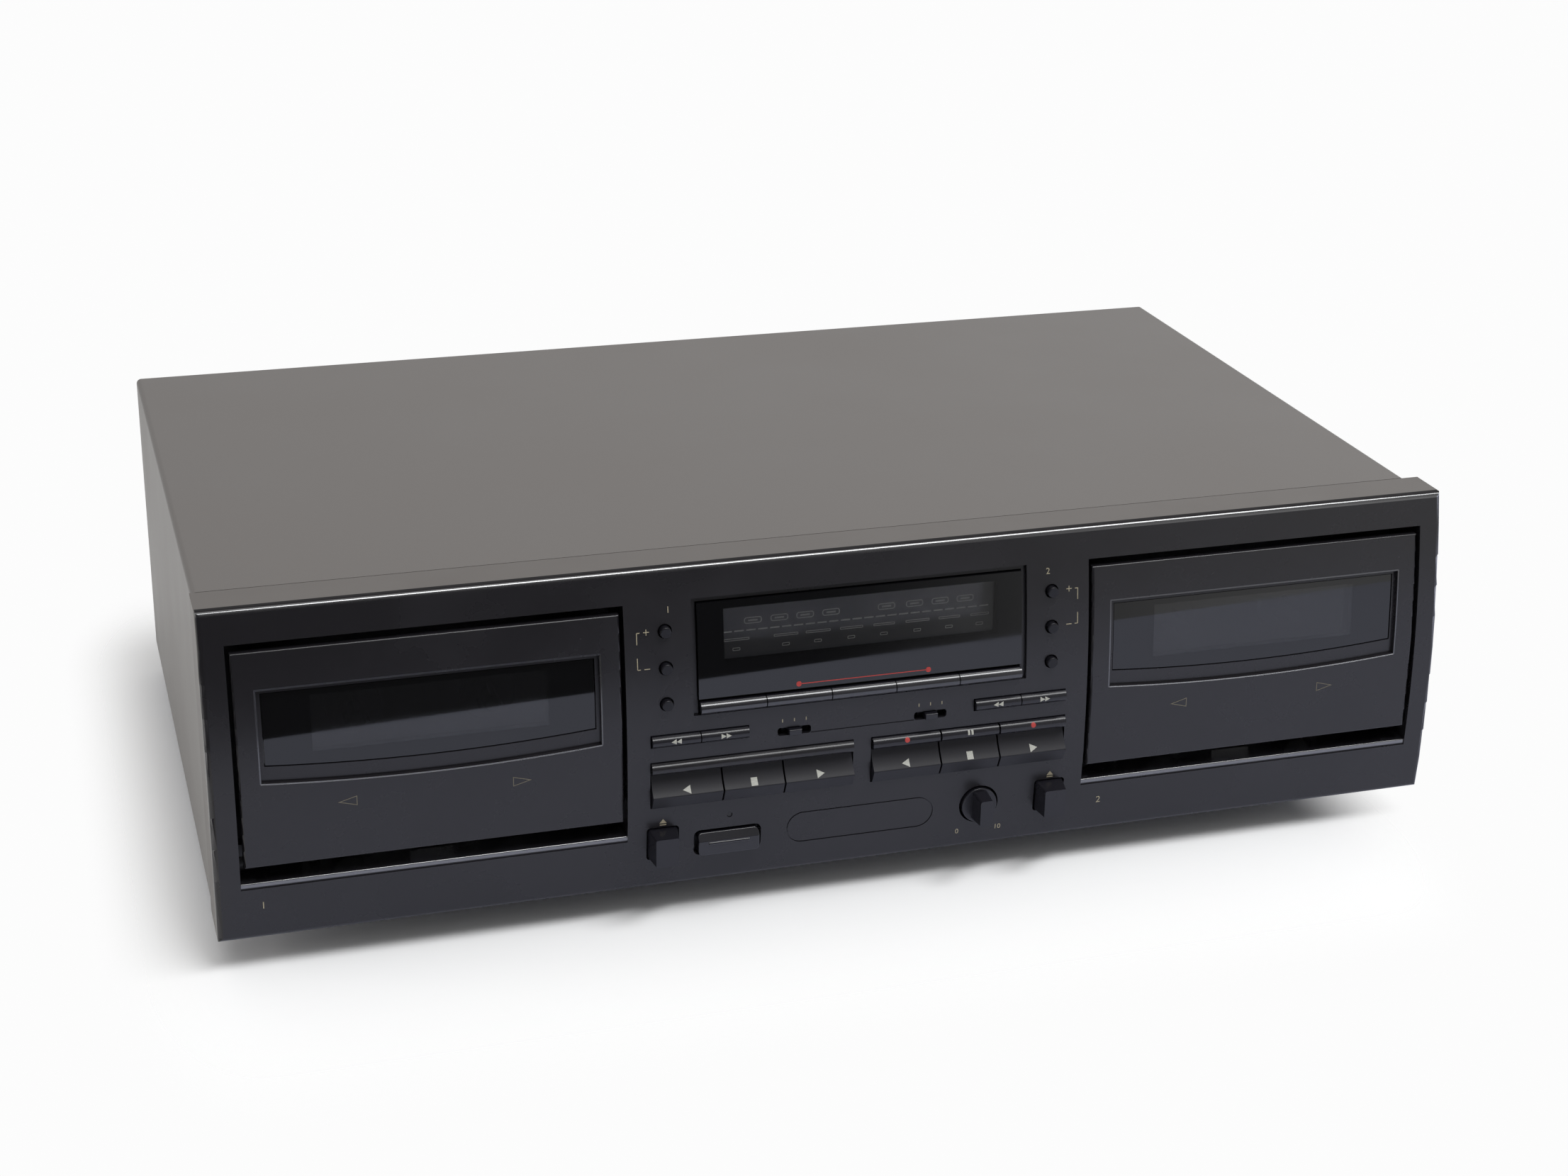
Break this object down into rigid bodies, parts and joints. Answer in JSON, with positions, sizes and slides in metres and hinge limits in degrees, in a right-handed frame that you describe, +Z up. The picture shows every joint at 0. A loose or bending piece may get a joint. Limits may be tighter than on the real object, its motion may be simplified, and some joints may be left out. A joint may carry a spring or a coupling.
{
  "type": "double cassette deck",
  "caption": "Double cassette deck: wide flat case, curved front, two hinged tape doors beside a display window, keys, slide switches, a level knob and round feet.",
  "frame": {"origin": "middle of the overall box in X and Y, at the level of the feet's undersides", "axes": "X to the right seen from the front, Y from the front panel to the back, Z up"},
  "size_m": [0.42, 0.26, 0.1205],
  "materials": {
    "cover_paint": "matt textured dark grey paint",
    "rear_paint": "matt dark paint",
    "steel": "zinc plated, satin",
    "screw_metal": "blackened steel",
    "panel_plastic": "semi-gloss black moulding",
    "door_plastic": "semi-gloss black moulding",
    "key_plastic": "satin black moulding",
    "inner_plastic": "black moulding",
    "foot_plastic": "black moulding",
    "smoked_window": "smoked clear pane, polished",
    "door_glass": "clear pane with a dark printed border, polished",
    "circuit_board": "lacquered board with soldered parts",
    "belt_rubber": "black rubber"
  },
  "bodies": {
    "cabinet": {"chassis": "steel", "rear_panel": "rear_paint", "top_cover": "cover_paint", "front_panel": "panel_plastic", "feet": "foot_plastic", "case_screws": "screw_metal", "display_window": "smoked_window", "display_board": "circuit_board", "main_board": "circuit_board", "transformer": "steel", "cord_gland": "foot_plastic", "mechanism_frames": "inner_plastic", "motors": "steel", "drive_belts": "belt_rubber"},
    "door_1": {"door_1_cover": "door_plastic", "door_1_window": "door_glass", "door_1_holder": "inner_plastic"},
    "door_2": {"door_2_cover": "door_plastic", "door_2_window": "door_glass", "door_2_holder": "inner_plastic"},
    "deck_1_left_reel": {"deck_1_left_reel": "inner_plastic"},
    "deck_1_right_reel": {"deck_1_right_reel": "inner_plastic"},
    "deck_1_left_capstan": {"deck_1_left_capstan": "steel"},
    "deck_1_right_capstan": {"deck_1_right_capstan": "steel"},
    "deck_1_head_plate": {"deck_1_head_plate": "steel"},
    "deck_2_left_reel": {"deck_2_left_reel": "inner_plastic"},
    "deck_2_right_reel": {"deck_2_right_reel": "inner_plastic"},
    "deck_2_left_capstan": {"deck_2_left_capstan": "steel"},
    "deck_2_right_capstan": {"deck_2_right_capstan": "steel"},
    "deck_2_head_plate": {"deck_2_head_plate": "steel"},
    "copy_key_1": {"copy_key_1": "key_plastic"},
    "copy_key_2": {"copy_key_2": "key_plastic"},
    "copy_key_3": {"copy_key_3": "key_plastic"},
    "copy_key_4": {"copy_key_4": "key_plastic"},
    "copy_key_5": {"copy_key_5": "key_plastic"},
    "deck_1_rewind_key": {"deck_1_rewind_key": "key_plastic"},
    "deck_1_forward_key": {"deck_1_forward_key": "key_plastic"},
    "deck_2_rewind_key": {"deck_2_rewind_key": "key_plastic"},
    "deck_2_forward_key": {"deck_2_forward_key": "key_plastic"},
    "record_key": {"record_key": "key_plastic"},
    "pause_key": {"pause_key": "key_plastic"},
    "mute_key": {"mute_key": "key_plastic"},
    "deck_1_reverse_key": {"deck_1_reverse_key": "key_plastic"},
    "deck_1_stop_key": {"deck_1_stop_key": "key_plastic"},
    "deck_1_play_key": {"deck_1_play_key": "key_plastic"},
    "deck_2_reverse_key": {"deck_2_reverse_key": "key_plastic"},
    "deck_2_stop_key": {"deck_2_stop_key": "key_plastic"},
    "deck_2_play_key": {"deck_2_play_key": "key_plastic"},
    "deck_1_skip_up_button": {"deck_1_skip_up_button": "key_plastic"},
    "deck_1_skip_down_button": {"deck_1_skip_down_button": "key_plastic"},
    "deck_1_replay_button": {"deck_1_replay_button": "key_plastic"},
    "deck_2_skip_up_button": {"deck_2_skip_up_button": "key_plastic"},
    "deck_2_skip_down_button": {"deck_2_skip_down_button": "key_plastic"},
    "deck_2_replay_button": {"deck_2_replay_button": "key_plastic"},
    "deck_1_eject_key": {"deck_1_eject_key": "key_plastic"},
    "deck_2_eject_key": {"deck_2_eject_key": "key_plastic"},
    "power_key": {"power_key": "key_plastic"},
    "noise_filter_switch": {"noise_filter_switch": "key_plastic"},
    "reverse_mode_switch": {"reverse_mode_switch": "key_plastic"},
    "level_knob": {"level_knob": "key_plastic"}
  },
  "joints": [
    {"name": "door_1_hinge", "type": "hinge", "parent": "cabinet", "child": "door_1", "pos_m": [-0.14055, -0.11275, 0.0344], "axis": [1, 0, 0], "range_deg": [0, 25]},
    {"name": "door_2_hinge", "type": "hinge", "parent": "cabinet", "child": "door_2", "pos_m": [0.14055, -0.11275, 0.0344], "axis": [1, 0, 0], "range_deg": [0, 25]},
    {"name": "deck_1_left_reel_spin", "type": "hinge", "parent": "cabinet", "child": "deck_1_left_reel", "pos_m": [-0.1618, -0.09975, 0.077], "axis": [0, 1, 0], "continuous": true},
    {"name": "deck_1_right_reel_spin", "type": "hinge", "parent": "cabinet", "child": "deck_1_right_reel", "pos_m": [-0.1193, -0.09975, 0.077], "axis": [0, 1, 0], "continuous": true},
    {"name": "deck_1_left_capstan_spin", "type": "hinge", "parent": "cabinet", "child": "deck_1_left_capstan", "pos_m": [-0.16675, -0.08675, 0.048], "axis": [0, 1, 0], "continuous": true},
    {"name": "deck_1_right_capstan_spin", "type": "hinge", "parent": "cabinet", "child": "deck_1_right_capstan", "pos_m": [-0.11435, -0.08675, 0.048], "axis": [0, 1, 0], "continuous": true},
    {"name": "deck_1_head_plate_lift", "type": "slide", "parent": "cabinet", "child": "deck_1_head_plate", "axis": [0, 0, 1], "range_m": [0, 0.0043], "stiffness_N_per_m": 60, "springref_m": -0.003},
    {"name": "deck_2_left_reel_spin", "type": "hinge", "parent": "cabinet", "child": "deck_2_left_reel", "pos_m": [0.1193, -0.09975, 0.077], "axis": [0, 1, 0], "continuous": true},
    {"name": "deck_2_right_reel_spin", "type": "hinge", "parent": "cabinet", "child": "deck_2_right_reel", "pos_m": [0.1618, -0.09975, 0.077], "axis": [0, 1, 0], "continuous": true},
    {"name": "deck_2_left_capstan_spin", "type": "hinge", "parent": "cabinet", "child": "deck_2_left_capstan", "pos_m": [0.11435, -0.08675, 0.048], "axis": [0, 1, 0], "continuous": true},
    {"name": "deck_2_right_capstan_spin", "type": "hinge", "parent": "cabinet", "child": "deck_2_right_capstan", "pos_m": [0.16675, -0.08675, 0.048], "axis": [0, 1, 0], "continuous": true},
    {"name": "deck_2_head_plate_lift", "type": "slide", "parent": "cabinet", "child": "deck_2_head_plate", "axis": [0, 0, 1], "range_m": [0, 0.0043], "stiffness_N_per_m": 60, "springref_m": -0.003},
    {"name": "copy_key_1_press", "type": "slide", "parent": "cabinet", "child": "copy_key_1", "axis": [0, 1, 0], "range_m": [0, 0.0008], "stiffness_N_per_m": 600, "springref_m": -0.0006},
    {"name": "copy_key_2_press", "type": "slide", "parent": "cabinet", "child": "copy_key_2", "axis": [0, 1, 0], "range_m": [0, 0.0008], "stiffness_N_per_m": 600, "springref_m": -0.0006},
    {"name": "copy_key_3_press", "type": "slide", "parent": "cabinet", "child": "copy_key_3", "axis": [0, 1, 0], "range_m": [0, 0.0008], "stiffness_N_per_m": 600, "springref_m": -0.0006},
    {"name": "copy_key_4_press", "type": "slide", "parent": "cabinet", "child": "copy_key_4", "axis": [0, 1, 0], "range_m": [0, 0.0008], "stiffness_N_per_m": 600, "springref_m": -0.0006},
    {"name": "copy_key_5_press", "type": "slide", "parent": "cabinet", "child": "copy_key_5", "axis": [0, 1, 0], "range_m": [0, 0.0008], "stiffness_N_per_m": 600, "springref_m": -0.0006},
    {"name": "deck_1_rewind_key_press", "type": "slide", "parent": "cabinet", "child": "deck_1_rewind_key", "axis": [0, 1, 0], "range_m": [0, 0.0008], "stiffness_N_per_m": 600, "springref_m": -0.0006},
    {"name": "deck_1_forward_key_press", "type": "slide", "parent": "cabinet", "child": "deck_1_forward_key", "axis": [0, 1, 0], "range_m": [0, 0.0008], "stiffness_N_per_m": 600, "springref_m": -0.0006},
    {"name": "deck_2_rewind_key_press", "type": "slide", "parent": "cabinet", "child": "deck_2_rewind_key", "axis": [0, 1, 0], "range_m": [0, 0.0008], "stiffness_N_per_m": 600, "springref_m": -0.0006},
    {"name": "deck_2_forward_key_press", "type": "slide", "parent": "cabinet", "child": "deck_2_forward_key", "axis": [0, 1, 0], "range_m": [0, 0.0008], "stiffness_N_per_m": 600, "springref_m": -0.0006},
    {"name": "record_key_press", "type": "slide", "parent": "cabinet", "child": "record_key", "axis": [0, 1, 0], "range_m": [0, 0.0008], "stiffness_N_per_m": 600, "springref_m": -0.0006},
    {"name": "pause_key_press", "type": "slide", "parent": "cabinet", "child": "pause_key", "axis": [0, 1, 0], "range_m": [0, 0.0008], "stiffness_N_per_m": 600, "springref_m": -0.0006},
    {"name": "mute_key_press", "type": "slide", "parent": "cabinet", "child": "mute_key", "axis": [0, 1, 0], "range_m": [0, 0.0008], "stiffness_N_per_m": 600, "springref_m": -0.0006},
    {"name": "deck_1_reverse_key_press", "type": "slide", "parent": "cabinet", "child": "deck_1_reverse_key", "axis": [0, 1, 0], "range_m": [0, 0.0008], "stiffness_N_per_m": 600, "springref_m": -0.0006},
    {"name": "deck_1_stop_key_press", "type": "slide", "parent": "cabinet", "child": "deck_1_stop_key", "axis": [0, 1, 0], "range_m": [0, 0.0008], "stiffness_N_per_m": 600, "springref_m": -0.0006},
    {"name": "deck_1_play_key_press", "type": "slide", "parent": "cabinet", "child": "deck_1_play_key", "axis": [0, 1, 0], "range_m": [0, 0.0008], "stiffness_N_per_m": 600, "springref_m": -0.0006},
    {"name": "deck_2_reverse_key_press", "type": "slide", "parent": "cabinet", "child": "deck_2_reverse_key", "axis": [0, 1, 0], "range_m": [0, 0.0008], "stiffness_N_per_m": 600, "springref_m": -0.0006},
    {"name": "deck_2_stop_key_press", "type": "slide", "parent": "cabinet", "child": "deck_2_stop_key", "axis": [0, 1, 0], "range_m": [0, 0.0008], "stiffness_N_per_m": 600, "springref_m": -0.0006},
    {"name": "deck_2_play_key_press", "type": "slide", "parent": "cabinet", "child": "deck_2_play_key", "axis": [0, 1, 0], "range_m": [0, 0.0008], "stiffness_N_per_m": 600, "springref_m": -0.0006},
    {"name": "deck_1_skip_up_button_press", "type": "slide", "parent": "cabinet", "child": "deck_1_skip_up_button", "axis": [0, 1, 0], "range_m": [0, 0.0008], "stiffness_N_per_m": 600, "springref_m": -0.0006},
    {"name": "deck_1_skip_down_button_press", "type": "slide", "parent": "cabinet", "child": "deck_1_skip_down_button", "axis": [0, 1, 0], "range_m": [0, 0.0008], "stiffness_N_per_m": 600, "springref_m": -0.0006},
    {"name": "deck_1_replay_button_press", "type": "slide", "parent": "cabinet", "child": "deck_1_replay_button", "axis": [0, 1, 0], "range_m": [0, 0.0008], "stiffness_N_per_m": 600, "springref_m": -0.0006},
    {"name": "deck_2_skip_up_button_press", "type": "slide", "parent": "cabinet", "child": "deck_2_skip_up_button", "axis": [0, 1, 0], "range_m": [0, 0.0008], "stiffness_N_per_m": 600, "springref_m": -0.0006},
    {"name": "deck_2_skip_down_button_press", "type": "slide", "parent": "cabinet", "child": "deck_2_skip_down_button", "axis": [0, 1, 0], "range_m": [0, 0.0008], "stiffness_N_per_m": 600, "springref_m": -0.0006},
    {"name": "deck_2_replay_button_press", "type": "slide", "parent": "cabinet", "child": "deck_2_replay_button", "axis": [0, 1, 0], "range_m": [0, 0.0008], "stiffness_N_per_m": 600, "springref_m": -0.0006},
    {"name": "deck_1_eject_key_press", "type": "slide", "parent": "cabinet", "child": "deck_1_eject_key", "axis": [0, 1, 0], "range_m": [0, 0.003], "stiffness_N_per_m": 500, "springref_m": -0.001},
    {"name": "deck_2_eject_key_press", "type": "slide", "parent": "cabinet", "child": "deck_2_eject_key", "axis": [0, 1, 0], "range_m": [0, 0.003], "stiffness_N_per_m": 500, "springref_m": -0.001},
    {"name": "power_key_press", "type": "slide", "parent": "cabinet", "child": "power_key", "axis": [0, 1, 0], "range_m": [0, 0.0025], "stiffness_N_per_m": 500, "springref_m": -0.001},
    {"name": "noise_filter_switch_slide", "type": "slide", "parent": "cabinet", "child": "noise_filter_switch", "axis": [1, 0, 0], "range_m": [-0.003, 0.003]},
    {"name": "reverse_mode_switch_slide", "type": "slide", "parent": "cabinet", "child": "reverse_mode_switch", "axis": [1, 0, 0], "range_m": [-0.003, 0.003]},
    {"name": "level_knob_turn", "type": "hinge", "parent": "cabinet", "child": "level_knob", "pos_m": [0.0421, -0.11275, 0.0268], "axis": [0, 1, 0], "range_deg": [-150, 150]}
  ],
  "couplings": [
    {"joint": "deck_1_right_capstan_spin", "follows": "deck_1_left_capstan_spin", "ratio": -1},
    {"joint": "deck_2_right_capstan_spin", "follows": "deck_2_left_capstan_spin", "ratio": -1}
  ]
}
